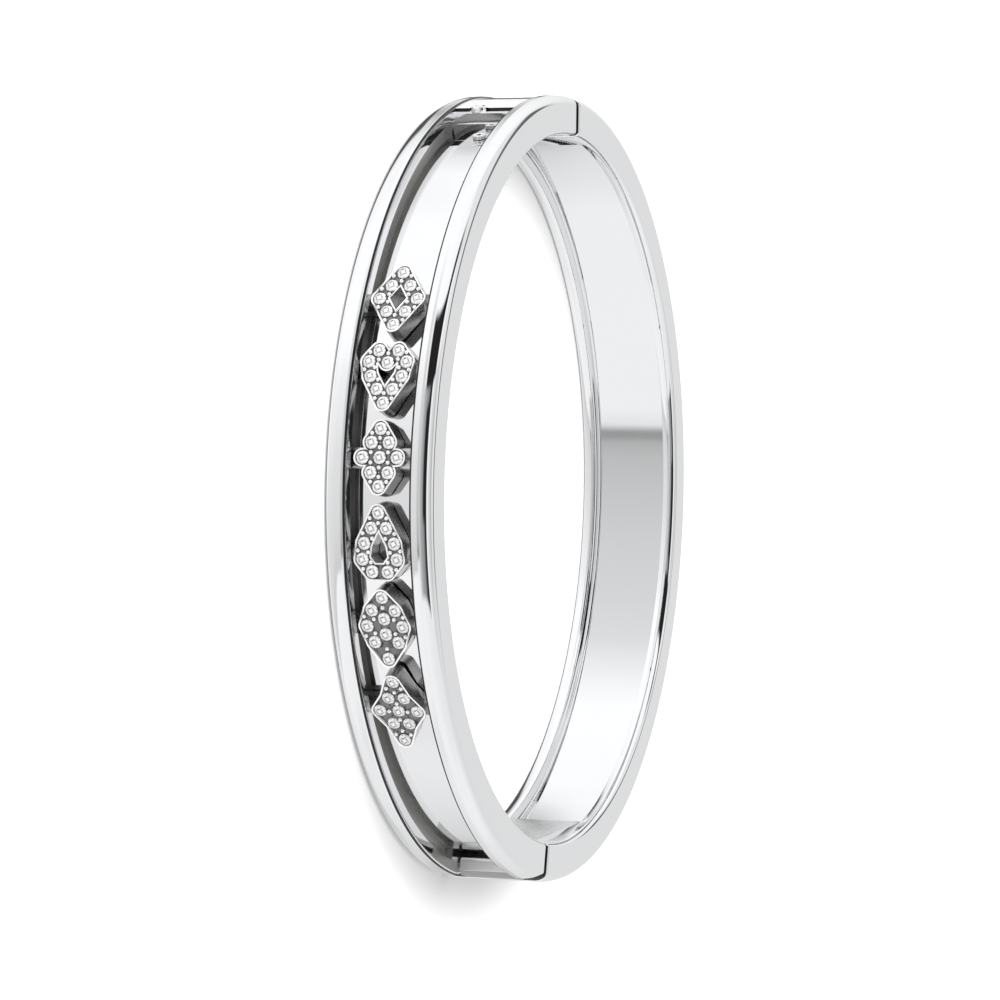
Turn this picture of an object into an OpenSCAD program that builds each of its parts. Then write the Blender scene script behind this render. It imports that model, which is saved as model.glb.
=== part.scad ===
// A round hinged bangle lying on its side. The front half is an open channel with six pave slide charms.
// The back half is a plain band, hollow on the wrist side. Lengths are in mm and the wrist axis is +Z.

/* [Band] */
// Outer radius of the round band
outer_r = 33; // [32.5:0.25:34.5]
// Width of the band, along the wrist
band_w = 8.9; // [8.8:0.1:9.4]
// Radial thickness of the band
band_t = 3.3; // [3.25:0.05:3.5]
// Rounding of the outer corners
edge_r = 0.75; // [0.6:0.05:0.85]
// Rounding of the inner corners
inner_edge_r = 0.5; // [0.4:0.05:0.6]

/* [Channel] */
// Width of the open slot between the two lips
slot_w = 5.2; // [5.1:0.05:5.4]
// Height of each lip, from the top of the rail down
lip_h = 1.1; // [1.0:0.05:1.15]
// Width of the groove under the lips
groove_w = 6.4; // [6.3:0.05:6.6]
// Depth of the channel floor below the top of the rails
channel_d = 2.0; // [1.95:0.05:2.1]

/* [Back half] */
// Width of each rim beside the recess
rim_w = 1.2; // [1.1:0.05:1.3]
// Depth of the recess on the wrist side
recess_d = 1; // [0.9:0.05:1.2]
// Angle at which the solid block by the hinge ends
hinge_block_deg = 110; // [106:1:114]
// Angle at which the solid block by the clasp ends, counted backwards from the front
clasp_block_deg = 94; // [93:0.5:97]

/* [Hinge] */
// Angle of the hinge pin from the middle of the front
pin_deg = 84.3; // [83.5:0.1:85]
// Depth of the pin's axis below the outer surface
pin_depth = 0.84; // [0.8:0.02:0.9]
// Radius of the hinge pin
pin_r = 0.42; // [0.38:0.02:0.46]
// Length of the hinge pin
pin_len = 7.9; // [7.5:0.1:8.1]
// Distance from the pin's axis to the end face of the front half
seam_v = 0.9; // [0.85:0.05:1.0]
// Gap between the two halves at each seam
seam_gap = 0.65; // [0.5:0.05:0.7]
// Width of the hinge lug
lug_w = 4.96; // [4.8:0.02:4.98]
// Reach of the hinge lug past the pin's axis
lug_reach = 0.75; // [0.7:0.01:0.8]

/* [Clasp] */
// Angle at which the block at the clasp end of the channel begins, from the middle of the front
block_deg = 67; // [66:0.5:68.5]
// Distance from the pin's angle, mirrored, to the end face of the front half at the clasp
clasp_v = 0.45; // [0.4:0.05:0.6]
// Thickness of the clasp tongue
tongue_t = 0.7; // [0.6:0.05:0.8]
// Width of the clasp tongue
tongue_w = 3.2; // [2.8:0.1:3.6]
// Reach of the clasp tongue into the front half, past the seam
tongue_reach = 3.4; // [3:0.1:3.8]
// Radius of the notched screw head
screw_r = 0.68; // [0.6:0.02:0.74]
// Radius of the stud on the channel floor
stud_r = 0.55; // [0.48:0.01:0.6]

/* [Charms] */
// Free gap between two charms along the channel
charm_gap = 0.3; // [0.25:0.05:0.4]
// Gap between a charm's side and the lip beside it
charm_side = 0.35; // [0.3:0.05:0.4]
// Width of the strip of metal that carries one row of stones
stroke_w = 1.42; // [1.4:0.02:1.46]
// Width of the raised bright rim round each charm
bright_w = 0.13; // [0.11:0.01:0.14]
// Depth of the sunk field inside the bright rim
field_d = 0.16; // [0.12:0.01:0.18]
// Diameter of the round stones
stone_d = 1.04; // [0.98:0.02:1.06]
// Radius of the bead prongs
bead_r = 0.16; // [0.14:0.01:0.17]

/* [Hidden] */
inner_r = outer_r - band_t;
floor_r = outer_r - channel_d;
half_w = band_w / 2;
fine = 180;
round_fn = 48;
over = 1;
far = 12;
// clearances: of a running pin, of a piece in its pocket, of the lug in the slot, of a charm in its groove
run_gap = 0.05;
seat_gap = 0.03;
slide_gap = 0.1;
tongue_gap = 0.15;

// hinge: the pin's axis, the arc of the front half's corner, the end of the grooves and the lug's profile
pin_axis_r = outer_r - pin_depth;
pin_at = [pin_axis_r * sin(pin_deg), -pin_axis_r * cos(pin_deg)];
corner_r = seam_v + 0.1;
groove_end_deg = 80;
lug_pocket_d = 0.1;
lug_drop = 0.1;
lug_in = lug_reach * 0.8;
lug_root_in = lug_reach * 1.2;
back_v = seam_v + seam_gap;

// clasp: the tongue lies on an arc about the hinge pin, in the middle of the band's thickness
tongue_r = norm([(outer_r - band_t / 2) * sin(-pin_deg) - pin_at[0],
                 -(outer_r - band_t / 2) * cos(pin_deg) - pin_at[1]]);
tongue_root = 2.2;
seam_deg = 180 - (clasp_v + seam_gap / 2) * 180 / (PI * tongue_r);
deg_per_mm = 180 / (PI * tongue_r);
block_drop = 0.15;
bar_h = 0.35;
ledge_out = 0.95;
ledge_h = 0.7;
step_out = 1.15;
root = 0.1;

// small fittings
screw_h = 0.36;
screw_out = 0.42;
screw_z = -0.5;
screw_shank_r = 0.3;
screw_shank_l = 1.3;
notch_r = 0.17;
stud_h = 0.28;
stud_deg = -62;
stud_z = 0.25;
stud_shank_r = 0.28;
stud_shank_l = 0.7;
dimple_r = 0.17;
dimple_deg = -69;
dimple_z = 3.4;
dimple_d = 0.3;

// charms: the angles at which one charm's share of the track ends and the next begins
charm_bounds = [-27.7, -16.1, -4.9, 6.5, 18.1, 30.6, 43.8];
charm_lift = 0.1;
charm_drop = 0.35;
charm_base_r = floor_r + charm_lift;
charm_h = channel_d - charm_lift - charm_drop;
charm_w = slot_w - 2 * charm_side;
charm_hw = (charm_w - stroke_w) / 2;
tab_w = 1.6;
tab_root = 0.5;
tab_h = channel_d - lip_h - charm_lift - slide_gap;
tab_y = groove_w / 2 - slide_gap;
seat_play = 0.035;
seat_r = stone_d / 2 + seat_play;
seat_d = 0.62;
bead_off = 0.43;
bead_sink = 0.03;
bead_apart = 0.03;
girdle_t = 0.04;
crown_h = 0.17;
table_f = 0.58;
pavilion_h = 0.42;
stone_lift = 0.03;

// outlines: the stones' centres in shares of a charm's half length and half width
lozenge_path = [[-1, 0], [-0.5, 0.5], [0, 1], [0.5, 0.5], [1, 0], [0.5, -0.5], [0, -1], [-0.5, -0.5]];
heart_side = [[0.5, 0.42], [0.02, 0.84], [-0.52, 1], [-0.93, 0.52]];
drop_side = [[-0.48, 0.4], [0.04, 0.8], [0.58, 0.92], [1, 0.42]];
leaf_side = [[-0.58, 0.62], [-0.06, 0.95], [0.46, 0.64]];
leaf_vein = [[-0.3, 0], [0.2, 0]];
heart_path = concat([[1, 0]], heart_side, [[-0.48, 0]], mirrored(heart_side));
drop_path = concat([[-1, 0]], drop_side, mirrored(drop_side));
leaf_path = concat([[-1, 0]], leaf_side, [[1, 0]], mirrored(leaf_side));
petal_side = [[0.52, 0.46], [0, 0.92], [-0.52, 0.46]];
rosette_bead_side = [[0.84, 0.43], [0.175, 0.46], [-0.175, 0.46], [-0.84, 0.43]];
rosette_bead_mid = [[0.67, 0], [0.35, 0], [-0.35, 0], [-0.67, 0]];
star_in = [0.44, 0.42];

// the same side points on the other side, in reverse order
function mirrored(side) = [for (i = [len(side) - 1 : -1 : 0]) [side[i][0], -side[i][1]]];
// a charm's length is its share of the track less the free gap
function charm_len(i) = (charm_bounds[i + 1] - charm_bounds[i]) * PI / 180 * charm_base_r - charm_gap;
function half_len(i) = (charm_len(i) - stroke_w) / 2;
// points given in shares, in mm for the charm with number i
function sized(path, i) = [for (p = path) [p[0] * half_len(i), p[1] * charm_hw]];
// the links between neighbouring stones of a closed row
function ring_links(path) = [for (i = [0 : len(path) - 1]) [path[i], path[(i + 1) % len(path)]]];
// the bead prongs that stand clear of the ones before them in the list
function apart(beads) = [for (i = [0 : len(beads) - 1])
    if (len([for (j = [0 : 1 : i - 1]) if (norm(beads[i] - beads[j]) < 2 * bead_r + bead_apart) j]) == 0)
      beads[i]];
// the bead prongs beside each link, but not those that would meet their twin on the middle line
function link_beads(links) = apart([for (l = links) for (s = [-1, 1])
    let (d = (l[1] - l[0]) / norm(l[1] - l[0]), b = (l[0] + l[1]) / 2 + s * bead_off * [-d[1], d[0]])
    if (abs(b[1]) > bead_r + bead_apart) b]);

// puts what is drawn at the front's middle at an angle round the band
module turned(deg) {
  rotate([0, 0, deg]) children();
}

// draws in the plane of the band from the pin's axis: x runs along the band to the back, y to the wrist
module at_pin() {
  turned(pin_deg) translate([0, -pin_axis_r, half_w]) children();
}

// the same place at the clasp's end, mirrored: x runs from the back to the front
module at_clasp() {
  turned(-pin_deg) translate([0, -pin_axis_r, half_w]) children();
}

// turns a section, x as radius and y across the band, from one angle to the next
module sector(from_deg, to_deg) {
  translate([0, 0, half_w]) rotate([0, 0, from_deg - 90])
    rotate_extrude(angle = to_deg - from_deg, $fn = fine) children();
}

// the band's section with rounded corners
module band_section() {
  polygon([[inner_r, -half_w + inner_edge_r],
           [inner_r + inner_edge_r, -half_w],
           [outer_r - edge_r, -half_w],
           [outer_r, -half_w + edge_r],
           [outer_r, half_w - edge_r],
           [outer_r - edge_r, half_w],
           [inner_r + inner_edge_r, half_w],
           [inner_r, half_w - inner_edge_r]]);
  for (s = [-1, 1]) {
    translate([outer_r - edge_r, s * (half_w - edge_r)]) circle(r = edge_r, $fn = round_fn);
    translate([inner_r + inner_edge_r, s * (half_w - inner_edge_r)]) circle(r = inner_edge_r, $fn = round_fn);
  }
}

// the T-shaped section of the channel: the slot between the lips and the groove under them
module channel_section() {
  lip_r = outer_r - lip_h;
  polygon([[floor_r, -groove_w / 2],
           [lip_r, -groove_w / 2],
           [lip_r, -slot_w / 2],
           [outer_r + over, -slot_w / 2],
           [outer_r + over, slot_w / 2],
           [lip_r, slot_w / 2],
           [lip_r, groove_w / 2],
           [floor_r, groove_w / 2]]);
}

// a slab in the plane of the band, from one x to the next, that cuts an end of the band
module end_cut(x0, x1) {
  translate([x0, -far, -band_w]) cube([x1 - x0, 2 * far, 2 * band_w]);
}

// the space or the body of the tongue, with a margin round it, between two distances from the clasp seam
module tongue_body(margin, back, front) {
  translate([pin_at[0], pin_at[1], half_w]) rotate([0, 0, seam_deg - back * deg_per_mm])
    rotate_extrude(angle = (back + front) * deg_per_mm, $fn = fine)
      translate([tongue_r - tongue_t / 2 - margin, -tongue_w / 2 - margin])
        square([tongue_t + 2 * margin, tongue_w + 2 * margin]);
}

// one step of the block at the clasp's end: it reaches out over the floor and is rooted in it and in the walls
module block_part(out, h, w) {
  sector(-pin_deg - 4, -block_deg + out * 180 / (PI * floor_r))
    translate([floor_r - root, -w / 2 - root]) square([h + root, w + 2 * root]);
}

// the underside of the screw's head, with z outwards
module screw_frame() {
  turned(-block_deg) translate([screw_out, screw_h - outer_r, half_w + screw_z])
    rotate([90, 0, 0]) children();
}

module stud_frame() {
  turned(stud_deg) translate([0, -floor_r, half_w + stud_z]) rotate([90, 0, 0]) children();
}

module front_channel() {
  color([0.86, 0.87, 0.88]) difference() {
    union() {
      difference() {
        sector(-pin_deg - 4, pin_deg + 4) band_section();
        sector(-pin_deg - 6, groove_end_deg) channel_section();
        sector(groove_end_deg - 1, pin_deg + 6) translate([floor_r - lug_pocket_d, -slot_w / 2])
          square([channel_d + lug_pocket_d + over, slot_w]);
      }
      block_part(0, channel_d - lip_h + root, groove_w);
      block_part(0, channel_d - block_drop, slot_w);
      block_part(ledge_out, channel_d - block_drop - bar_h, slot_w);
      block_part(step_out, channel_d - block_drop - bar_h - ledge_h, slot_w);
    }
    at_clasp() end_cut(-far, -clasp_v);
    at_pin() end_cut(seam_v, far);
    at_pin() difference() {
      translate([0, -far, -band_w]) cube([far, far, 2 * band_w]);
      translate([0, 0, -band_w]) cylinder(r = corner_r, h = 2 * band_w, $fn = fine);
    }
    at_pin() translate([0, 0, -pin_len / 2 - seat_gap])
      cylinder(r = pin_r + seat_gap, h = pin_len + 2 * seat_gap, $fn = round_fn);
    tongue_body(tongue_gap, over, tongue_reach + tongue_gap);
    screw_frame() translate([0, 0, -screw_shank_l - seat_gap])
      cylinder(r = screw_shank_r + seat_gap, h = screw_shank_l + over, $fn = round_fn);
    screw_frame() translate([0, 0, -seat_gap])
      cylinder(r = screw_r + seat_gap, h = over, $fn = round_fn);
    stud_frame() translate([0, 0, -stud_shank_l - seat_gap])
      cylinder(r = stud_shank_r + seat_gap, h = stud_shank_l + over, $fn = round_fn);
    turned(dimple_deg) translate([0, -outer_r + dimple_d, half_w + dimple_z]) rotate([90, 0, 0])
      cylinder(r = dimple_r, h = over, $fn = round_fn);
  }
}

module back_half() {
  block_mid = (hinge_block_deg + pin_deg + 2) / 2;
  block_half = (hinge_block_deg - pin_deg - 2) / 2;
  chord_r = inner_r * cos(block_half);
  lug_top = pin_depth - lug_drop;
  color([0.84, 0.85, 0.86]) difference() {
    union() {
      difference() {
        union() {
          difference() {
            sector(pin_deg - 4, 364 - pin_deg) band_section();
            sector(hinge_block_deg, 360 - clasp_block_deg)
              translate([inner_r - over, -half_w + rim_w]) square([over + recess_d, band_w - 2 * rim_w]);
          }
          difference() {
            sector(pin_deg - 4, hinge_block_deg)
              translate([inner_r - over, -half_w + rim_w]) square([over + recess_d / 2, band_w - 2 * rim_w]);
            turned(block_mid) translate([-far, -chord_r, -over]) cube([2 * far, far, band_w + 2 * over]);
          }
        }
        at_pin() end_cut(-far, back_v);
        at_clasp() end_cut(-clasp_v - seam_gap, far);
      }
      at_pin() translate([0, 0, -lug_w / 2]) linear_extrude(height = lug_w)
        polygon([[back_v + over, -lug_top],
                 [-lug_reach * 0.4, -lug_top],
                 [-lug_reach, -lug_reach * 0.55],
                 [-lug_reach, lug_reach * 0.4],
                 [-lug_reach * 0.75, lug_in],
                 [seam_v, lug_in],
                 [back_v + over, lug_root_in]]);
    }
    at_pin() translate([0, 0, -lug_w]) cylinder(r = pin_r + run_gap, h = 2 * lug_w, $fn = round_fn);
    tongue_body(seat_gap, tongue_root + seat_gap, over);
  }
}

module hinge_pin() {
  color([0.7, 0.7, 0.72]) at_pin() translate([0, 0, -pin_len / 2])
    cylinder(r = pin_r, h = pin_len, $fn = round_fn);
}

module clasp_tongue() {
  color([0.7, 0.7, 0.72]) tongue_body(0, tongue_root, tongue_reach);
}

module stop_screw() {
  color([0.9, 0.9, 0.9]) screw_frame() {
    difference() {
      cylinder(r = screw_r, h = screw_h, $fn = round_fn);
      for (a = [45 : 90 : 315]) rotate([0, 0, a]) translate([screw_r * 0.82, 0, screw_h * 0.45])
        cylinder(r = notch_r, h = over, $fn = round_fn);
    }
    translate([0, 0, -screw_shank_l]) cylinder(r = screw_shank_r, h = screw_shank_l + screw_h / 2, $fn = round_fn);
  }
}

module floor_stud() {
  color([0.9, 0.9, 0.9]) stud_frame() {
    difference() {
      translate([0, 0, seat_gap]) cylinder(r = stud_r, h = stud_h, $fn = round_fn);
      translate([0, 0, stud_h * 0.4]) cylinder(r = dimple_r, h = over, $fn = round_fn);
    }
    translate([0, 0, -stud_shank_l]) cylinder(r = stud_shank_r, h = stud_shank_l + stud_h / 2, $fn = round_fn);
  }
}

// draws a charm from the middle of its base: x runs along the channel, y across it and z outwards
module charm_frame(i) {
  turned((charm_bounds[i] + charm_bounds[i + 1]) / 2) translate([0, -charm_base_r, half_w])
    rotate([90, 0, 0]) children();
}

// the flat strip of metal along the links between the stones
module strip(links, r) {
  for (l = links) {
    d = l[1] - l[0];
    translate(l[0]) circle(r = r, $fn = round_fn);
    translate(l[1]) circle(r = r, $fn = round_fn);
    translate(l[0]) rotate([0, 0, atan2(d[1], d[0])]) translate([0, -r]) square([norm(d), 2 * r]);
  }
}

// a charm's setting: the strip with its bright rim, sunk field, seats and bead prongs, and two side tabs
module setting(i, links, stones, beads, tab_x) {
  color([0.8, 0.81, 0.83]) charm_frame(i) {
    difference() {
      union() {
        linear_extrude(height = charm_h) strip(links, stroke_w / 2);
        for (s = [-1, 1]) translate([tab_x * half_len(i) - tab_w / 2, s > 0 ? tab_root * charm_hw : -tab_y, 0])
          cube([tab_w, tab_y - tab_root * charm_hw, tab_h]);
      }
      translate([0, 0, charm_h - field_d]) linear_extrude(height = over) strip(links, stroke_w / 2 - bright_w);
      for (p = stones) translate([p[0], p[1], charm_h - field_d - seat_d])
        cylinder(r = seat_r, h = seat_d + over, $fn = round_fn);
    }
    for (b = beads) translate([b[0], b[1], charm_h - bead_sink]) sphere(r = bead_r, $fn = round_fn);
  }
}

// a round brilliant: a table, a crown, a thin girdle and a pavilion, on its girdle's lower edge
module brilliant() {
  r = stone_d / 2;
  table = [for (k = [0 : 7]) [r * table_f * cos(45 * k), r * table_f * sin(45 * k), girdle_t + crown_h]];
  upper = [for (k = [0 : 15]) [r * cos(22.5 * k), r * sin(22.5 * k), girdle_t]];
  lower = [for (k = [0 : 15]) [r * cos(22.5 * k), r * sin(22.5 * k), 0]];
  polyhedron(points = concat(table, upper, lower, [[0, 0, -pavilion_h]]),
             faces = concat([[for (k = [7 : -1 : 0]) k]],
                            [for (k = [0 : 7]) [k, (k + 1) % 8, 8 + 2 * k + 1]],
                            [for (k = [0 : 7]) [k, 8 + 2 * k + 1, 8 + 2 * k]],
                            [for (k = [0 : 7]) [k, 8 + 2 * k, 8 + (2 * k + 15) % 16]],
                            [for (k = [0 : 15]) [8 + k, 8 + (k + 1) % 16, 24 + (k + 1) % 16, 24 + k]],
                            [for (k = [0 : 15]) [24 + k, 24 + (k + 1) % 16, 40]]));
}

module stones_of(i, stones) {
  color([0.95, 0.97, 1]) charm_frame(i)
    for (p = stones) translate([p[0], p[1], charm_h - field_d + stone_lift]) brilliant();
}

// the six outlines
lozenge_pts = sized(lozenge_path, 0);
heart_pts = sized(heart_path, 1);
rosette_ring = sized(concat(petal_side, mirrored(petal_side)), 2);
rosette_ends = [for (s = [-1, 1]) [s * half_len(2), 0]];
rosette_pts = concat([[0, 0]], rosette_ring, rosette_ends);
drop_pts = sized(drop_path, 3);
leaf_ring = sized(leaf_path, 4);
leaf_mid = sized(leaf_vein, 4);
leaf_pts = concat(leaf_ring, leaf_mid);
star_tips = sized([[-1, 0], [0, 1], [1, 0], [0, -1]], 5);
star_waist = sized([[-star_in[0], star_in[1]], star_in, [star_in[0], -star_in[1]], [-star_in[0], -star_in[1]]], 5);
star_pts = concat([[0, 0]], star_tips, star_waist);

rosette_links = concat([for (p = rosette_ring) [[0, 0], p]],
                       [for (k = [0, 5]) [rosette_ends[1], rosette_ring[k]]],
                       [for (k = [2, 3]) [rosette_ends[0], rosette_ring[k]]]);
leaf_links = concat(ring_links(leaf_ring), [[leaf_ring[0], leaf_mid[0]], leaf_mid, [leaf_mid[1], leaf_ring[4]]],
                    [for (p = leaf_mid) for (k = [2, 6]) [p, leaf_ring[k]]]);
star_links = concat([for (k = [0 : 3]) [star_tips[k], star_waist[k]]],
                    [for (k = [0 : 3]) [star_tips[(k + 1) % 4], star_waist[k]]],
                    [for (p = star_waist) [[0, 0], p]]);

lozenge_beads = concat(link_beads(ring_links(lozenge_pts)), sized([[-0.66, 0], [0.66, 0]], 0));
heart_beads = concat(link_beads(ring_links(heart_pts)), sized([[0.66, 0], [-0.81, 0]], 1));
rosette_beads = sized(concat(rosette_bead_side, mirrored(rosette_bead_side), rosette_bead_mid), 2);
drop_beads = concat(link_beads(ring_links(drop_pts)), sized([[-0.66, 0]], 3));
leaf_beads = concat([for (b = link_beads(ring_links(leaf_ring))) if (abs(b[1]) > charm_hw * 0.55) b],
                    sized([[-0.68, 0], [0.66, 0]], 4),
                    sized([for (s = [-1, 1]) for (x = [-0.3, 0.16]) [x, s * 0.54]], 4));
star_beads = concat(sized([[-0.67, 0], [-0.28, 0], [0.28, 0], [0.67, 0]], 5),
                    [for (s = [-1, 1]) for (t = [-1, 1]) [s * half_len(5) * 0.8, t * charm_hw * 0.4]],
                    [for (s = [-1, 1]) [0, s * charm_hw * 0.5]]);

module charm_lozenge() {
  setting(0, ring_links(lozenge_pts), lozenge_pts, lozenge_beads, 0);
}

module charm_heart() {
  setting(1, ring_links(heart_pts), heart_pts, heart_beads, -0.3);
}

module charm_rosette() {
  setting(2, rosette_links, rosette_pts, rosette_beads, 0);
}

module charm_drop() {
  setting(3, ring_links(drop_pts), drop_pts, drop_beads, 0.4);
}

module charm_leaf() {
  setting(4, leaf_links, leaf_pts, leaf_beads, 0);
}

module charm_star() {
  setting(5, star_links, star_pts, star_beads, 0);
}

module stones_lozenge() {
  stones_of(0, lozenge_pts);
}

module stones_heart() {
  stones_of(1, heart_pts);
}

module stones_rosette() {
  stones_of(2, rosette_pts);
}

module stones_drop() {
  stones_of(3, drop_pts);
}

module stones_leaf() {
  stones_of(4, leaf_pts);
}

module stones_star() {
  stones_of(5, star_pts);
}

front_channel();
back_half();
hinge_pin();
clasp_tongue();
stop_screw();
floor_stud();
charm_lozenge();
charm_heart();
charm_rosette();
charm_drop();
charm_leaf();
charm_star();
stones_lozenge();
stones_heart();
stones_rosette();
stones_drop();
stones_leaf();
stones_star();
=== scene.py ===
import math

import bmesh
import bpy
from mathutils import Matrix, Vector


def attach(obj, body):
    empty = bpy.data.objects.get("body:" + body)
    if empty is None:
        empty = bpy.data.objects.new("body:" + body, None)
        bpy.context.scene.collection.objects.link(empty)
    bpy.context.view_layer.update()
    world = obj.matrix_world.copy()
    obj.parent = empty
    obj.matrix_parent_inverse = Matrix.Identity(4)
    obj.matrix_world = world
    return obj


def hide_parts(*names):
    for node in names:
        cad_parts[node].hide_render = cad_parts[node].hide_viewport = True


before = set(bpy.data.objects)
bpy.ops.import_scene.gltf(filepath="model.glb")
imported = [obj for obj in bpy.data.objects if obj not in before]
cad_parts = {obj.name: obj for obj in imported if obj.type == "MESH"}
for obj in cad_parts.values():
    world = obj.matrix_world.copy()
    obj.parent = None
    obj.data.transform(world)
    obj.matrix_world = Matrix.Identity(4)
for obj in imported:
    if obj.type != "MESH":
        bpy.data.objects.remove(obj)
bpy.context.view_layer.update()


# front half
# The front half of the bangle: one casting in white metal, milled to an open channel with two lips
# and an undercut groove each side, then mirror polished. A stepped block closes its clasp end.

# the band: lengths in millimetres, angles in degrees from the middle of the channel, the hinge at +
MM = 0.001
HALF_W = 4.45
R_OUT, R_IN = 33.0, 29.7
OUT_EDGE = (0.75, 1.05)
IN_EDGE = (0.7, 0.4)
METAL = (0.86, 0.865, 0.875)
# the channel: its floor, the lips over the undercut grooves, and half the widths of slot and groove
R_FLOOR, R_LIP = 31.0, 31.9
SLOT, GROOVE = 2.6, 3.2
GROOVE_END = 80.0
LIP_EDGE = 0.27
LIP_FOOT = 0.05
# the ends: each end face lies past a plane through the pin's angle, with a small rounding
PIN_DEG, PIN_R = 84.3, 32.16
HINGE_FACE, CLASP_FACE = 0.9, 0.45
FACE_EDGE, FACE_STEPS = 0.22, 5
FACE_RUN, RUN_ROWS = 0.4, 8
CORNER = 1.0
# the block at the clasp: a bar, a ledge and a step, as radii and as lengths along the floor
BLOCK_DEG = -67.0
BAR_DEG, BAR_ROWS_END = BLOCK_DEG - 4, BLOCK_DEG - 1.3
BAR, LEDGE, STEP = 32.85, 32.66, 31.8
NOSE_START, LEDGE_END, STEP_START, STEP_END, BLOCK_END = -0.6, 0.95, 0.97, 1.15, 1.4
BAR_NOSE, LEDGE_NOSE, STEP_NOSE = 0.05, 0.07, 0.06
# the slot that the clasp's tongue enters: its middle radius, thickness, width and depth
TONGUE_R, TONGUE_T, TONGUE_W, TONGUE_L = 31.38, 1.0, 3.5, 3.6
# what counts as one point when the mesh is welded, and as a sliver, in metres
WELD, SLIVER = 4e-7, 1e-7


def ring_point(deg, r, z):
    """A point in metres, from its angle, its radius and its distance from the band's middle."""
    a = math.radians(deg)
    return (r * math.sin(a) * MM, -r * math.cos(a) * MM, (z + HALF_W) * MM)


def rounded(corners, seg=8):
    """Corners (r, z, reach) of a closed section, each rounded one as an arc of seg + 1 points.
    A pair as reach gives the arc's reach towards the corner before and towards the one after."""
    out = []
    for i, (r, z, reach) in enumerate(corners):
        before, after = reach if isinstance(reach, tuple) else (reach, reach)
        if before <= 0:
            out.append((r, z))
            continue
        p = Vector((r, z))
        a = (Vector(corners[i - 1][:2]) - p).normalized() * before
        b = (Vector(corners[(i + 1) % len(corners)][:2]) - p).normalized() * after
        for k in range(seg + 1):
            t = math.radians(90 * k / seg)
            out.append(tuple(p + a * (1 - math.sin(t)) + b * (1 - math.cos(t))))
    return out


def both_sides(half):
    """The corners of one side and their mirror images, as one closed section."""
    flipped = [(r, -z, reach[::-1] if isinstance(reach, tuple) else reach)
               for r, z, reach in reversed(half)]
    return half + flipped


def loft(bm, rows):
    """Quads between rows of points, each row a closed ring with the same number of points."""
    made = [[bm.verts.new(p) for p in row] for row in rows]
    n = len(made[0])
    for lower, upper in zip(made, made[1:]):
        for i in range(n):
            j = (i + 1) % n
            bm.faces.new((lower[i], lower[j], upper[j], upper[i]))
    return made


def face_of(bm, points):
    """One flat face through the points."""
    return bm.faces.new([bm.verts.new(p) for p in points])


def weld(bm):
    """Joins points that coincide and drops faces that have no width."""
    bmesh.ops.remove_doubles(bm, verts=bm.verts, dist=WELD)
    bmesh.ops.dissolve_degenerate(bm, edges=bm.edges, dist=SLIVER)


def finished(name, bm, sharp=32):
    """Welds the mesh, turns its faces outwards, and shades it smooth except at sharp edges."""
    weld(bm)
    bmesh.ops.recalc_face_normals(bm, faces=bm.faces)
    me = bpy.data.meshes.new(name)
    bm.to_mesh(me)
    bm.free()
    me.shade_smooth()
    me.set_sharp_from_angle(angle=math.radians(sharp))
    ob = bpy.data.objects.new(name, me)
    bpy.context.scene.collection.objects.link(ob)
    mod = ob.modifiers.new("weighted", "WEIGHTED_NORMAL")
    mod.keep_sharp = True
    mod.weight = 60
    return ob


def degrees(start, end, step=0.75):
    """Even angles from start to end, about a step apart."""
    n = max(1, round(abs(end - start) / step))
    return [start + (end - start) * k / n for k in range(n + 1)]


def end_deg(v, r, side):
    """The angle at which a plane at the distance v past the pin's radius meets the radius r."""
    return side * (PIN_DEG + math.degrees(math.asin(v / r)))


def shrink(section, amount):
    """A section moved inwards by amount, for the small rounding round an end face. Points that
    coincide take the direction of the next point that lies apart, and all of them move alike."""
    n = len(section)
    following = section[1:] + section[:1]
    area = sum(r * z_next - r_next * z for (r, z), (r_next, z_next) in zip(section, following))
    turn = 1 if area > 0 else -1
    apart, sharpest = 1e-5, 0.4
    out = []
    for i in range(n):
        q = Vector(section[i])
        ahead = [Vector(section[(i + k) % n]) - q for k in range(1, n)]
        t1 = -next(d for d in reversed(ahead) if d.length > apart).normalized()
        t2 = next(d for d in ahead if d.length > apart).normalized()
        n1, n2 = Vector((-t1.y, t1.x)) * turn, Vector((-t2.y, t2.x)) * turn
        out.append(tuple(q + (n1 + n2) * (amount / max(1 + n1.dot(n2), sharpest))))
    return out


def end_rows(section_at, v_end, side, inner_deg):
    """Rows from an angle to a flat end face parallel to the pin's radius, with a rounded edge."""
    edge_start = v_end - FACE_EDGE
    rows = []
    for k in range(RUN_ROWS + 1):
        t = k / RUN_ROWS
        rows.append([ring_point(inner_deg * (1 - t) + end_deg(edge_start, r, side) * t, r, z)
                     for r, z in section_at(v_end - (1 - t) * FACE_RUN if t else 0)])
    for k in range(1, FACE_STEPS + 1):
        f = math.radians(90 * k / FACE_STEPS)
        rows.append([ring_point(end_deg(edge_start + FACE_EDGE * math.sin(f), r, side), r, z)
                     for r, z in shrink(section_at(v_end), FACE_EDGE * (1 - math.cos(f)))])
    return rows


# half of the section that all of the front half shares: its wrist side, flank and rail top
RAIL = [(R_IN, SLOT, 0), (R_IN, HALF_W, IN_EDGE), (R_OUT, HALF_W, OUT_EDGE), (R_OUT, SLOT, LIP_EDGE)]


def block_section(h):
    """The band where the channel is only a slot with its floor at the radius h."""
    wall = max(R_LIP + LIP_FOOT, h)
    return rounded(both_sides(RAIL + [(wall, SLOT, 0), (h, SLOT, 0)]))


def channel_section():
    """The band with its full channel: lips, undercut grooves and the floor."""
    return rounded(both_sides(RAIL + [(R_LIP, SLOT, LIP_FOOT), (R_LIP, GROOVE, 0), (R_FLOOR, GROOVE, 0),
                                      (R_FLOOR, SLOT, 0)]))


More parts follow.
